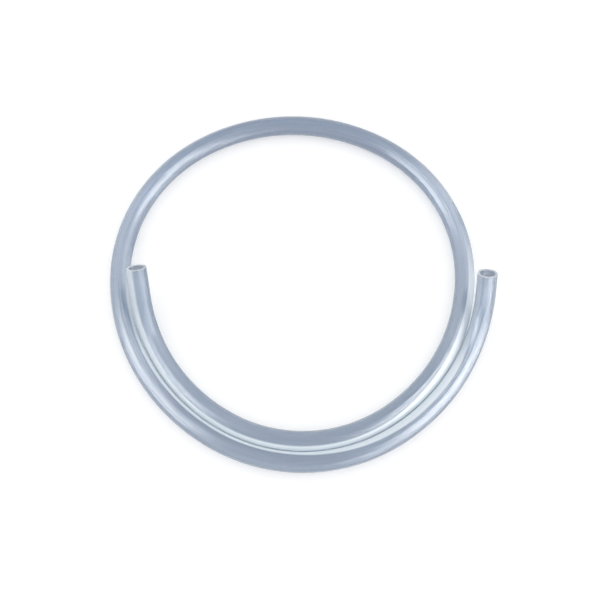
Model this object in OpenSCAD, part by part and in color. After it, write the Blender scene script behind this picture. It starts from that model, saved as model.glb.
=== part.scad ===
// Siphon hose: a metre of clear tubing, coiled flat, with both cut ends curling up

/* [Hose] */
// Bore of the hose, which a siphon cane or a spout pushes into
hose_bore = 9; // [6:0.5:10]
// Thickness of the hose's wall
hose_wall = 1.5; // [1:0.25:2]

/* [Coil] */
// Radius of the outer turn where the coil starts, at the middle of the hose
coil_r = 113.25; // [90:0.25:150]
// Turn of the flat coil between the two curling ends, in degrees
coil_turn = 480; // [360:30:840]
// Clear space between neighbouring turns
turn_gap = 0.5; // [0.45:0.05:3]
// How far the coil is three-cornered, as a share of its radius
corner_share = 0.1; // [0:0.01:0.15]
// Depth of the flat that the coil rests on
foot_depth = 0.5; // [0.2:0.1:0.8]

/* [Ends] */
// Radius of the upward curl at each end
curl_r = 50; // [40:1:60]
// Angle of the upward curl at the right end, in degrees
right_curl = 53; // [40:1:60]
// Angle of the upward curl at the left end, in degrees
left_curl = 43; // [40:1:60]
// Straight length behind the right end's cut
right_straight = 13; // [12:0.5:40]
// Straight length behind the left end's cut
left_straight = 20; // [12:0.5:40]

/* [Hidden] */

hose_od = hose_bore + 2 * hose_wall;
pitch = hose_od + turn_gap;
// Height of the hose's middle line over the surface that the coil rests on
axis_z = hose_od / 2 - foot_depth;

// The coil is a chain of bends that run clockwise, seen from above, each tangent to the last
full_turn = 360;
bend_step = 30;
bends_per_turn = full_turn / bend_step;
bend_count = coil_turn / bend_step;
corners = 3;
// Angles round the coil's axis where the coil starts, at the right, and ends, at the left
start_angle = -30;
end_angle = start_angle - coil_turn;

clear_pvc = [0.61, 0.67, 0.75, 0.8];
$fn = 48;
ring_facets = 180;

function flat_dir(a) = [cos(a), sin(a), 0];
function bend_from(k) = start_angle - k * bend_step;
// Flatter and tighter bends take turns, and each turn lies one pitch inside the turn before it
function corner_wave(k) = cos(corners * bend_step * (k + 0.5));
function bend_r(k) = coil_r * (1 + corner_share * corner_wave(k)) - pitch * k / bends_per_turn;
function centre_shift(k) = (bend_r(k) - bend_r(k + 1)) * flat_dir(bend_from(k + 1));

bend_centres = [
    for (k = 0, c = [0, 0, axis_z]; k < bend_count; c = c + centre_shift(k), k = k + 1) c
];

function coil_point(k, a) = bend_centres[k] + bend_r(k) * flat_dir(a);

// Seen from above, a curling end goes on round the coil: its roll follows from the two radii
end_roll = acos(min(1, curl_r / coil_r));

// A curling end holds: the point and the angle where it leaves the coil, its side along the
// coil, its curl and its straight length
right_end = [coil_point(0, start_angle), start_angle, 1, right_curl, right_straight];
left_end = [coil_point(bend_count - 1, end_angle), end_angle, -1, left_curl, left_straight];
function start_of(end) = end[0];
function angle_of(end) = end[1];
function side_of(end) = end[2];
function curl_of(end) = end[3];
function straight_of(end) = end[4];

// The way an end sets off, and the way from there to the middle of its curl
function along(end) = side_of(end) * [-sin(angle_of(end)), cos(angle_of(end)), 0];
function inward(end) = [0, 0, sin(end_roll)] - cos(end_roll) * flat_dir(angle_of(end));

// The middle line of an end at an angle t of its curl, and the way that it runs there
function curl_point(end, t) =
    start_of(end) + curl_r * (sin(t) * along(end) + (1 - cos(t)) * inward(end));
function curl_dir(end, t) = cos(t) * along(end) + sin(t) * inward(end);
function straight_point(end, s) =
    curl_point(end, curl_of(end)) + s * curl_dir(end, curl_of(end));
function mouth_of(end) = straight_point(end, straight_of(end));
function axis_of(end) = curl_dir(end, curl_of(end));

// Points along the middle line, from the right mouth to the left one
point_step = 1;
curl_points = 26;
straight_points = 6;
coil_points = [
    for (k = [0 : bend_count - 1]) for (a = [0 : point_step : bend_step - point_step])
        coil_point(k, bend_from(k) - a)
];
function end_points(end) = [
    for (i = [1 : curl_points]) curl_point(end, curl_of(end) * i / curl_points),
    for (i = [1 : straight_points]) straight_point(end, straight_of(end) * i / straight_points)
];
right_points = end_points(right_end);
route = [
    for (i = [len(right_points) - 1 : -1 : 0]) right_points[i],
    each coil_points,
    each end_points(left_end)
];

// Least gap between stretches of the hose that lie about a quarter turn or more apart along it
apart = full_turn / 4 / point_step;
least_gap = min([
    for (i = [0 : len(route) - 1 - apart]) for (j = [i + apart : len(route) - 1])
        norm(route[i] - route[j])
]) - hose_od;

function arc_length(r, angle) = 2 * PI * r * angle / full_turn;
function coil_length(count) =
    count == 0 ? 0 : arc_length(bend_r(count - 1), bend_step) + coil_length(count - 1);
function end_length(end) = arc_length(curl_r, curl_of(end)) + straight_of(end);
hose_length = end_length(right_end) + coil_length(bend_count) + end_length(left_end);

// The origin is at the middle of the hose's outline, on the surface that it rests on
function middle_of(values) = (min(values) + max(values)) / 2;
outline_middle = [middle_of([for (p = route) p.x]), middle_of([for (p = route) p.y]), 0];

echo(least_gap = least_gap, hose_length = hose_length);
echo(right_mouth = mouth_of(right_end) - outline_middle, right_axis = axis_of(right_end));
echo(left_mouth = mouth_of(left_end) - outline_middle, left_axis = axis_of(left_end));

// Moves in two steps, a round one and the rest, so that tangent bends meet to the last digit
round_step = 0.001;
module place(v) {
    round_v = [for (x = v) round(x / round_step) * round_step];
    translate(round_v)
        translate(v - round_v)
            children();
}

module hose_section() {
    difference() {
        circle(d = hose_od);
        circle(d = hose_bore);
    }
}

// A bend of hose round the z axis
module hose_bend(r, from, angle) {
    rotate_extrude(start = from, angle = angle, $fn = ring_facets)
        place([r, 0])
            hose_section();
}

// Everything that lies under the surface that the hose rests on
module under_floor() {
    floor_size = 4 * coil_r;
    translate([-floor_size / 2, -floor_size / 2, -hose_od])
        cube([floor_size, floor_size, hose_od]);
}

module rest_on_floor() {
    translate(-outline_middle)
        difference() {
            union() children();
            under_floor();
        }
}

// A straight cut end and the curl behind it, in the plane of the curl, from the mouth on
module cut_end_and_curl(curl, straight) {
    translate([curl_r, 0, 0])
        rotate([90, 0, 0])
            linear_extrude(straight)
                hose_section();
    hose_bend(curl_r, 0, curl);
}

// A curling end where it leaves the coil: x out from the coil, y back along it, z up
module curling_end(end) {
    rotate([0, end_roll, 0])
        translate([-curl_r, 0, 0])
            rotate(-curl_of(end))
                cut_end_and_curl(curl_of(end), straight_of(end));
}

module hose_coil() {
    color(clear_pvc)
        rest_on_floor()
            for (k = [0 : bend_count - 1])
                place(bend_centres[k])
                    hose_bend(bend_r(k), bend_from(k + 1), bend_step);
}

module right_hose_end() {
    color(clear_pvc)
        rest_on_floor()
            translate(start_of(right_end))
                rotate(angle_of(right_end))
                    mirror([0, 1, 0])
                        curling_end(right_end);
}

module left_hose_end() {
    color(clear_pvc)
        rest_on_floor()
            translate(start_of(left_end))
                rotate(angle_of(left_end))
                    curling_end(left_end);
}

hose_coil();
right_hose_end();
left_hose_end();
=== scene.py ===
# Siphon hose: a metre of clear tubing, coiled flat, with both cut ends curling up
import math

import bmesh
import bpy
from mathutils import Matrix, Vector


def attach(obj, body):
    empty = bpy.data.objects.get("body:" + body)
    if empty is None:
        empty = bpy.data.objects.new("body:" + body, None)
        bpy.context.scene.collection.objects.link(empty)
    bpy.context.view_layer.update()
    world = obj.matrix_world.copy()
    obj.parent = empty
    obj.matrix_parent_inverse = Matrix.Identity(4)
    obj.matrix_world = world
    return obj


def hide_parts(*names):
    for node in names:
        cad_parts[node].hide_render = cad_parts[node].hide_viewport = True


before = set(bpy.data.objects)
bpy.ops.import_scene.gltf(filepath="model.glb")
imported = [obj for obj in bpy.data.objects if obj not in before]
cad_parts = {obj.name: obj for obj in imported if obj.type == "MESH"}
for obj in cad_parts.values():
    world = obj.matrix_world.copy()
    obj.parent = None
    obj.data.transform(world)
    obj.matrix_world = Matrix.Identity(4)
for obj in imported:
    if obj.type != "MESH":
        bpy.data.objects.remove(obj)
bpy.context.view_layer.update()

MM = 0.001
UP = Vector((0, 0, 1))

# Sizes of the hose, as in the part's source, in metres and degrees
HOSE_BORE = 9 * MM
HOSE_WALL = 1.5 * MM
COIL_R = 113.25 * MM
COIL_TURN = 480
TURN_GAP = 0.5 * MM
CORNER_SHARE = 0.1
FOOT_DEPTH = 0.5 * MM
CURL_R = 50 * MM
RIGHT_CURL = 53
LEFT_CURL = 43
RIGHT_STRAIGHT = 13 * MM
LEFT_STRAIGHT = 20 * MM

HOSE_LENGTH = 1
HOSE_OD = HOSE_BORE + 2 * HOSE_WALL
PITCH = HOSE_OD + TURN_GAP
AXIS_Z = HOSE_OD / 2 - FOOT_DEPTH
BEND_STEP = 30
BENDS_PER_TURN = 360 / BEND_STEP
BEND_COUNT = COIL_TURN // BEND_STEP
CORNERS = 3
START_ANGLE = -30
END_ANGLE = START_ANGLE - COIL_TURN

# Camera that stands where the photograph was taken from
CAMERA_TARGET = Vector((-0.35, -9.4, 5.5)) * MM
CAMERA_AZIMUTH = 6
CAMERA_ELEVATION = 71.4
CAMERA_ROLL = 5.5
CAMERA_DISTANCE = 660 * MM
LENS = 65.2


def flat_dir(degrees):
    a = math.radians(degrees)
    return Vector((math.cos(a), math.sin(a), 0))


def make_camera():
    look_flat = flat_dir(90 - CAMERA_AZIMUTH)
    tilt = math.radians(CAMERA_ELEVATION)
    forward = math.cos(tilt) * look_flat - math.sin(tilt) * UP
    level_right = forward.cross(UP).normalized()
    right = Matrix.Rotation(-math.radians(CAMERA_ROLL), 3, forward) @ level_right
    up = right.cross(forward)
    data = bpy.data.cameras.new("camera")
    data.lens = LENS
    camera = bpy.data.objects.new("camera", data)
    axes = Matrix((right, up, -forward)).transposed().to_4x4()
    camera.matrix_world = Matrix.Translation(CAMERA_TARGET - CAMERA_DISTANCE * forward) @ axes
    bpy.context.collection.objects.link(camera)
    bpy.context.scene.camera = camera


# The hose's middle line is a chain of bends, each tangent to the last, with a curl at each end
def bend_from(k):
    return START_ANGLE - k * BEND_STEP


def bend_r(k):
    wave = math.cos(math.radians(CORNERS * BEND_STEP * (k + 0.5)))
    return COIL_R * (1 + CORNER_SHARE * wave) - PITCH * k / BENDS_PER_TURN


def bend_centres():
    centres = [Vector((0, 0, AXIS_Z))]
    for k in range(BEND_COUNT - 1):
        shift = (bend_r(k) - bend_r(k + 1)) * flat_dir(bend_from(k + 1))
        centres.append(centres[-1] + shift)
    return centres


POINTS_PER_BEND = 30
CURL_POINTS = 26
STRAIGHT_POINTS = 8


def coil_line():
    line = []
    centres = bend_centres()
    for k, centre in enumerate(centres):
        for i in range(POINTS_PER_BEND):
            angle = bend_from(k) - BEND_STEP * i / POINTS_PER_BEND
            line.append(centre + bend_r(k) * flat_dir(angle))
    last = centres[-1] + bend_r(BEND_COUNT - 1) * flat_dir(END_ANGLE)
    return line + [last]


END_ROLL = math.acos(CURL_R / COIL_R)


def end_line(start, angle, side, curl, straight):
    """The middle line of a curling end, from where it leaves the coil."""
    along = side * flat_dir(angle + 90)
    inward = math.sin(END_ROLL) * UP - math.cos(END_ROLL) * flat_dir(angle)
    line = []
    for i in range(1, CURL_POINTS + 1):
        t = math.radians(curl * i / CURL_POINTS)
        line.append(start + CURL_R * (math.sin(t) * along + (1 - math.cos(t)) * inward))
    t = math.radians(curl)
    way = math.cos(t) * along + math.sin(t) * inward
    curl_end = line[-1]
    for i in range(1, STRAIGHT_POINTS + 1):
        line.append(curl_end + straight * i / STRAIGHT_POINTS * way)
    return line


def hose_line():
    """The hose's middle line from the right mouth to the left one, about the middle of its outline."""
    coil = coil_line()
    right = end_line(coil[0], START_ANGLE, 1, RIGHT_CURL, RIGHT_STRAIGHT)
    left = end_line(coil[-1], END_ANGLE, -1, LEFT_CURL, LEFT_STRAIGHT)
    line = right[::-1] + coil + left
    middle = Vector((0, 0, 0))
    for axis in (0, 1):
        values = [p[axis] for p in line]
        middle[axis] = (min(values) + max(values)) / 2
    return [p - middle for p in line]


# A station of the hose: its middle point, the way it runs, its inner side, its upper side and
# how far along the hose it is
def stations_along(line):
    stations = []
    so_far = 0
    for i, point in enumerate(line):
        before = line[max(i - 1, 0)]
        after = line[min(i + 1, len(line) - 1)]
        so_far += (point - before).length
        way = (after - before).normalized()
        inner = way.cross(UP).normalized()
        stations.append((point, way, inner, inner.cross(way), so_far))
    return stations


SIDES = 64
# The cut edges are eased by this much
EASE = 0.22 * MM
EASE_STEPS = 4
OUTSIDE, BORE, SHADED_MOUTH, CUT = range(4)
# The bore is painted darker this far in from each mouth, as painted shade inside the mouths
MOUTH_SHADE_DEPTH = 6 * MM


def rim_rings(station, outward):
    """Rings over a cut end, from the outside to the bore: where each is and what it belongs to."""
    point, way, inner, upper, s = station
    quarter = [math.radians(90 * i / EASE_STEPS) for i in range(EASE_STEPS + 1)]
    rings = []
    for t in quarter:
        rings.append((1 - math.sin(t), HOSE_OD / 2 - EASE * (1 - math.cos(t))))
    for t in reversed(quarter):
        rings.append((1 - math.sin(t), HOSE_BORE / 2 + EASE * (1 - math.cos(t))))
    return [((point - outward * back * EASE * way, way, inner, upper, s), r, CUT) for back, r in rings]


# The bore near each mouth takes the painted shade
def bore_surface(station):
    s = station[-1]
    return SHADED_MOUTH if min(s, HOSE_LENGTH - s) < MOUTH_SHADE_DEPTH else BORE


def hose_rings(line):
    """One closed skin: along the outside, over the left cut, back along the bore, over the right cut."""
    stations = stations_along(line)
    between = stations[1:-1]
    rings = [(station, HOSE_OD / 2, OUTSIDE) for station in between]
    rings += rim_rings(stations[-1], 1)
    rings += [(station, HOSE_BORE / 2, bore_surface(station)) for station in reversed(between)]
    rings += reversed(rim_rings(stations[0], -1))
    return rings


# Where two turns lie side by side: on the inner side of the hose's first stretch and on the
# outer side of its last one, with a soft start and end
FIRST_TOUCH_END = 0.39
LAST_TOUCH_START = 0.635
TOUCH_FADE = 0.07
# The painted light band starts and is full this far out to the side, as a share of the radius
LIGHT_BAND_FROM = 0.55
LIGHT_BAND_FULL = 0.72
# The painted light band reaches further over the hose where an end leans on the turn beside it: at the left
# over the end itself, where it is also fainter, and at the right over the end and the turn beside it
LEFT_WIDENS_BY = 0.25
LEFT_FAINTER_BY = 0.25
LEFT_END_FROM = 0.88
RIGHT_WIDENS_BY = 0.4
RIGHT_END_TO = 0.1
BESIDE_RIGHT_TO = 0.72
RIGHT_FADE = 0.1
# The left end is dull, as if pushed on and pulled off, and takes a small share of the band's painted light
# colour: this much at its mouth, less further back
DULL_SHARE = 0.05
DULL_TO = 0.03
DULL_FADE = 0.12
# Neighbouring turns swell a little where they press on each other
SWELL = 0.2 * MM
SWELL_FROM = 0.6
# Each end is risen from its mouth to the first of these places along the hose and lies flat from the
# second one on; where the right end is risen, it touches the turn beside it by this share
RISEN_TO = 0.03
LYING_FROM = 0.07
RISEN_TOUCH = 0.4
# Painted shade: the hose is painted deeper in colour halfway along, where it lies at the top of the ring
DARKEST_AT = 0.52
DARK_TO = 0.03
DARK_FADE = 0.09


def smooth_step(low, high, x):
    t = min(max((x - low) / (high - low), 0), 1)
    return t * t * (3 - 2 * t)


def lies_flat(from_mouth):
    return smooth_step(RISEN_TO, LYING_FROM, from_mouth)


def touches_inside(s):
    """How far the hose has a turn on its inner side."""
    near_right_mouth = RISEN_TOUCH + (1 - RISEN_TOUCH) * lies_flat(s)
    return near_right_mouth * (1 - smooth_step(FIRST_TOUCH_END - TOUCH_FADE, FIRST_TOUCH_END, s))


def touches_outside(s):
    """How far the hose has a turn on its outer side."""
    return smooth_step(LAST_TOUCH_START, LAST_TOUCH_START + TOUCH_FADE, s)


def in_band(facing, wider):
    """How far a place lies in the painted light band, by how far it faces the turn beside it."""
    return smooth_step(LIGHT_BAND_FROM - wider, LIGHT_BAND_FULL - wider, facing)


def painted_light_and_dull_share(inward, s):
    """How far the skin takes the painted light band and the dull end, by how far it faces inward and how
    far along the hose it is.
    """
    left_end = smooth_step(LEFT_END_FROM, HOSE_LENGTH, s)
    right_end = lies_flat(s) * (1 - smooth_step(RIGHT_END_TO, RIGHT_END_TO + RIGHT_FADE, s))
    beside_right = 1 - smooth_step(BESIDE_RIGHT_TO, BESIDE_RIGHT_TO + RIGHT_FADE, s)
    inside = touches_inside(s) * in_band(inward, RIGHT_WIDENS_BY * right_end)
    wider = LEFT_WIDENS_BY * left_end + RIGHT_WIDENS_BY * beside_right
    outside = touches_outside(s) * in_band(-inward, wider)
    dull = 1 - smooth_step(DULL_TO, DULL_TO + DULL_FADE, HOSE_LENGTH - s)
    return max(inside + (1 - LEFT_FAINTER_BY * left_end) * outside, DULL_SHARE * dull)


def swelling(inward, s):
    """How far the skin stands out towards the turn beside it."""
    inside = touches_inside(s) * smooth_step(SWELL_FROM, 1, inward)
    outside = touches_outside(s) * smooth_step(SWELL_FROM, 1, -inward)
    return SWELL * lies_flat(min(s, HOSE_LENGTH - s)) * (inside + outside)


def painted_shade_share(s):
    """How far the hose's colour is painted darker as shade at a place along it."""
    return 1 - smooth_step(DARK_TO, DARK_TO + DARK_FADE, abs(s - DARKEST_AT))


def add_ring(mesh, layers, station, radius, surface):
    """One ring of vertices round the hose."""
    point, way, inner, upper, s = station
    lay, painted_light_and_dull, painted_shade = layers
    ring = []
    for i in range(SIDES):
        a = 2 * math.pi * i / SIDES
        reach = radius
        if surface == OUTSIDE:
            reach += swelling(math.cos(a), s)
        place = point + reach * (math.cos(a) * inner + math.sin(a) * upper)
        place.z = max(place.z, 0)
        vertex = mesh.verts.new(place)
        vertex[lay] = (math.cos(a), math.sin(a), s)
        # Share of the painted light band between turns, and of the dull left end
        vertex[painted_light_and_dull] = painted_light_and_dull_share(math.cos(a), s)
        vertex[painted_shade] = painted_shade_share(s)
        ring.append(vertex)
    return ring


def join_rings(mesh, first, second, surface):
    for i in range(SIDES):
        j = (i + 1) % SIDES
        face = mesh.faces.new((second[i], second[j], first[j], first[i]))
        face.smooth = True
        face.material_index = surface


def hose_mesh(line):
    mesh = bmesh.new()
    lay = mesh.verts.layers.float_vector.new("lay")
    painted_light_and_dull = mesh.verts.layers.float.new("painted_light_and_dull")
    painted_shade = mesh.verts.layers.float.new("painted_shade")
    layers = (lay, painted_light_and_dull, painted_shade)
    rings = [(add_ring(mesh, layers, *ring), ring[-1]) for ring in hose_rings(line)]
    for (first, surface), (second, next_surface) in zip(rings, rings[1:] + rings[:1]):
        both_cut = surface == CUT and next_surface == CUT
        join_rings(mesh, first, second, CUT if both_cut else min(surface, next_surface))
    data = bpy.data.meshes.new("hose")
    mesh.to_mesh(data)
    mesh.free()
    return data


def make_hose(line, materials):
    data = hose_mesh(line)
    for material in materials:
        data.materials.append(material)
    hose = bpy.data.objects.new("hose", data)
    bpy.context.collection.objects.link(hose)
    return hose


PVC_IOR = 1.53
# The clear plastic is a little milky: this share of the light goes through its skin
SKIN_CLEAR = 0.55
SKIN_TINT = Vector((0.36, 0.45, 0.58))
# Painted shade: the darker tint the hose is painted halfway along
SHADED_TINT = Vector((0.295, 0.375, 0.51))
SKIN_ROUGHNESS = 0.06
GLOSS = 0.75
GLOSS_ROUGHNESS = 0.2
# The band between turns is painted whiter, as painted light, and is rougher, lets less light through and
# has no gloss
LIGHT_BAND_CLEAR = 0.1
PAINTED_LIGHT_TINT = Vector((0.79, 0.86, 0.92))
BAND_AND_DULL_ROUGHNESS = 0.26
BORE_TINT = Vector((0.9, 0.93, 0.96))
BORE_ROUGHNESS = 0.03
BORE_CLEAR = 1
# Painted shade: the bore's first stretch in from each mouth is painted darker
MOUTH_SHADE_TINT = Vector((0.5, 0.5, 0.51))
MOUTH_ROUGHNESS = 0.1
MOUTH_CLEAR = 0.9
CUT_TINT = Vector((0.78, 0.81, 0.86))
CUT_ROUGHNESS = 0.5
CUT_CLEAR = 0.4
# Lines drawn along the hose: this many to a radius across it and to a metre along it, with this many
# finer layers, this deep, and with this change of tint either way
LINES_ACROSS = 7
LINES_ALONG = 5
LINE_DETAIL = 3
LINE_DEPTH = 0.5 * MM
LINE_TINT = 0.13


def opaque(colour):
    return (*colour, 1)


def plain_pvc(name, colour, roughness, clear):
    material = bpy.data.materials.new(name)
    material.use_nodes = True
    shader = material.node_tree.nodes["Principled BSDF"]
    shader.inputs["Base Color"].default_value = opaque(colour)
    shader.inputs["Roughness"].default_value = roughness
    shader.inputs["IOR"].default_value = PVC_IOR
    shader.inputs["Transmission Weight"].default_value = clear
    return material


def attribute(tree, name):
    node = tree.nodes.new("ShaderNodeAttribute")
    node.attribute_name = name
    return node


def drawn_lines(tree):
    """Noise drawn out along the hose, as the die leaves it."""
    stretch = tree.nodes.new("ShaderNodeVectorMath")
    stretch.operation = "MULTIPLY"
    stretch.inputs[1].default_value = (LINES_ACROSS, LINES_ACROSS, LINES_ALONG)
    tree.links.new(attribute(tree, "lay").outputs["Vector"], stretch.inputs[0])
    noise = tree.nodes.new("ShaderNodeTexNoise")
    noise.inputs["Scale"].default_value = 1
    noise.inputs["Detail"].default_value = LINE_DETAIL
    tree.links.new(stretch.outputs["Vector"], noise.inputs["Vector"])
    return noise.outputs["Fac"]


def colour_mix(tree, share):
    mix = tree.nodes.new("ShaderNodeMix")
    mix.data_type = "RGBA"
    tree.links.new(share, mix.inputs["Factor"])
    return mix


def lined_tint(tree, lines, colour):
    tint = colour_mix(tree, lines)
    tint.inputs["A"].default_value = opaque((1 - LINE_TINT) * colour)
    tint.inputs["B"].default_value = opaque((1 + LINE_TINT) * colour)
    return tint.outputs["Result"]


def colour_skin(tree, shader, lines, painted_light_and_dull):
    # Painted shade: the tint turns deeper halfway along
    tint = colour_mix(tree, attribute(tree, "painted_shade").outputs["Fac"])
    tree.links.new(lined_tint(tree, lines, SKIN_TINT), tint.inputs["A"])
    tree.links.new(lined_tint(tree, lines, SHADED_TINT), tint.inputs["B"])
    # Painted light: the band where turns touch is painted whiter
    colour = colour_mix(tree, painted_light_and_dull)
    tree.links.new(tint.outputs["Result"], colour.inputs["A"])
    colour.inputs["B"].default_value = opaque(PAINTED_LIGHT_TINT)
    tree.links.new(colour.outputs["Result"], shader.inputs["Base Color"])


def fade_with_painted_light_and_dull(tree, painted_light_and_dull, full, socket, unmarked, marked):
    """Takes a number of the shader from unmarked to marked with the painted light band and the dull end, up
    to a full share.
    """
    fade = tree.nodes.new("ShaderNodeMapRange")
    fade.inputs["From Max"].default_value = full
    fade.inputs["To Min"].default_value = unmarked
    fade.inputs["To Max"].default_value = marked
    tree.links.new(painted_light_and_dull, fade.inputs["Value"])
    tree.links.new(fade.outputs["Result"], socket)


def raise_lines(tree, shader, lines):
    bump = tree.nodes.new("ShaderNodeBump")
    bump.inputs["Distance"].default_value = LINE_DEPTH
    tree.links.new(lines, bump.inputs["Height"])
    for name in ("Normal", "Coat Normal"):
        tree.links.new(bump.outputs["Normal"], shader.inputs[name])


def skin_pvc():
    material = plain_pvc("clear_pvc", SKIN_TINT, SKIN_ROUGHNESS, SKIN_CLEAR)
    tree = material.node_tree
    shader = tree.nodes["Principled BSDF"]
    shader.inputs["Coat Roughness"].default_value = GLOSS_ROUGHNESS
    lines = drawn_lines(tree)
    painted_light_and_dull = attribute(tree, "painted_light_and_dull").outputs["Fac"]
    colour_skin(tree, shader, lines, painted_light_and_dull)
    fade_with_painted_light_and_dull(tree, painted_light_and_dull, 1, shader.inputs["Transmission Weight"], SKIN_CLEAR, LIGHT_BAND_CLEAR)
    fade_with_painted_light_and_dull(tree, painted_light_and_dull, DULL_SHARE, shader.inputs["Roughness"], SKIN_ROUGHNESS, BAND_AND_DULL_ROUGHNESS)
    fade_with_painted_light_and_dull(tree, painted_light_and_dull, DULL_SHARE, shader.inputs["Coat Weight"], GLOSS, 0)
    raise_lines(tree, shader, lines)
    return material


FLOOR_SIZE = 20
# The floor lies a hair under the hose, so that light leaves the hose's flat before it meets the floor
FLOOR_DROP = 0.1 * MM
# Where it is seen, the floor is white: it glows a little, and the rest of it takes the hose's shadow
FLOOR_GLOW = 0.35
FLOOR_SHADED = Vector((0.76, 0.76, 0.76))
FLOOR_WHITE = Vector((0.9, 0.9, 0.9))


def matt(tree, colour):
    node = tree.nodes.new("ShaderNodeBsdfDiffuse")
    node.inputs["Color"].default_value = opaque(colour)
    return node.outputs[0]


def seen_floor(tree):
    glow = tree.nodes.new("ShaderNodeEmission")
    glow.inputs["Strength"].default_value = FLOOR_GLOW
    both = tree.nodes.new("ShaderNodeAddShader")
    tree.links.new(matt(tree, FLOOR_SHADED), both.inputs[0])
    tree.links.new(glow.outputs[0], both.inputs[1])
    return both.outputs[0]


def larger(tree, first, second):
    node = tree.nodes.new("ShaderNodeMath")
    node.operation = "MAXIMUM"
    tree.links.new(first, node.inputs[0])
    tree.links.new(second, node.inputs[1])
    return node.outputs[0]


def seen_ray(tree):
    """One for rays that see the floor, straight or by way of the hose, and nothing for the rest."""
    path = tree.nodes.new("ShaderNodeLightPath").outputs
    direct = larger(tree, path["Is Camera Ray"], path["Is Glossy Ray"])
    return larger(tree, direct, path["Is Transmission Ray"])


def make_floor():
    bpy.ops.mesh.primitive_plane_add(size=FLOOR_SIZE, location=(0, 0, -FLOOR_DROP))
    floor = bpy.context.object
    floor.name = "floor"
    material = bpy.data.materials.new("white_floor")
    material.use_nodes = True
    tree = material.node_tree
    tree.nodes.clear()
    mix = tree.nodes.new("ShaderNodeMixShader")
    tree.links.new(seen_ray(tree), mix.inputs[0])
    tree.links.new(matt(tree, FLOOR_WHITE), mix.inputs[1])
    tree.links.new(seen_floor(tree), mix.inputs[2])
    output = tree.nodes.new("ShaderNodeOutputMaterial")
    tree.links.new(mix.outputs[0], output.inputs["Surface"])
    floor.data.materials.append(material)


def make_world():
    world = bpy.data.worlds.new("white_room")
    bpy.context.scene.world = world
    world.use_nodes = True
    background = world.node_tree.nodes["Background"]
    background.inputs["Color"].default_value = (1, 1, 1, 1)
    background.inputs["Strength"].default_value = 1


# How far the lamps stand from the hose, in metres
CARD_DISTANCE = 1.2


def card_size(half_angle):
    return 2 * CARD_DISTANCE * math.tan(math.radians(half_angle))


def card_place(azimuth, elevation, lean):
    tilt = math.radians(elevation)
    back = math.cos(tilt) * flat_dir(azimuth) + math.sin(tilt) * UP
    level = UP.cross(back).normalized()
    side = Matrix.Rotation(-math.radians(lean), 3, back) @ level
    axes = Matrix((side, back.cross(side), back)).transposed().to_4x4()
    return Matrix.Translation(CARD_DISTANCE * back) @ axes


def reflection_card(name, azimuth, elevation, half_width, half_height, radiance, lean=0):
    """A lamp that shows in gloss and through clear skin only; angles in degrees, seen from the hose."""
    data = bpy.data.lights.new(name, "AREA")
    data.shape = "RECTANGLE"
    data.size = card_size(half_width)
    data.size_y = card_size(half_height)
    data.energy = radiance * math.pi * data.size * data.size_y
    card = bpy.data.objects.new(name, data)
    card.matrix_world = card_place(azimuth, elevation, lean)
    card.visible_diffuse = False
    card.visible_camera = False
    bpy.context.collection.objects.link(card)


def make_cards():
    reflection_card(
        "right_softbox", azimuth=337, elevation=35, half_width=17.5, half_height=28, radiance=8, lean=15
    )
    reflection_card(
        "left_softbox", azimuth=197, elevation=43, half_width=19, half_height=27, radiance=6, lean=-15
    )
    reflection_card("right_wall", azimuth=25, elevation=38, half_width=25, half_height=33, radiance=2.6)
    reflection_card("left_wall", azimuth=155, elevation=38, half_width=25, half_height=33, radiance=1.3)
    reflection_card("low_softbox", azimuth=304, elevation=14, half_width=10, half_height=8, radiance=8)
    reflection_card("front_wall", azimuth=270, elevation=22, half_width=40, half_height=14, radiance=1.5)


make_camera()
line = hose_line()
hose = make_hose(line, [
    skin_pvc(),
    plain_pvc("clear_pvc_bore", BORE_TINT, BORE_ROUGHNESS, BORE_CLEAR),
    # Painted shade: the bore near each mouth is painted darker
    plain_pvc("clear_pvc_mouth_painted_shade", MOUTH_SHADE_TINT, MOUTH_ROUGHNESS, MOUTH_CLEAR),
    plain_pvc("clear_pvc_cut", CUT_TINT, CUT_ROUGHNESS, CUT_CLEAR),
])
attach(hose, "root")
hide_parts("hose_coil", "right_hose_end", "left_hose_end")
make_floor()
make_world()
make_cards()

bpy.context.scene.view_settings.view_transform = "Standard"
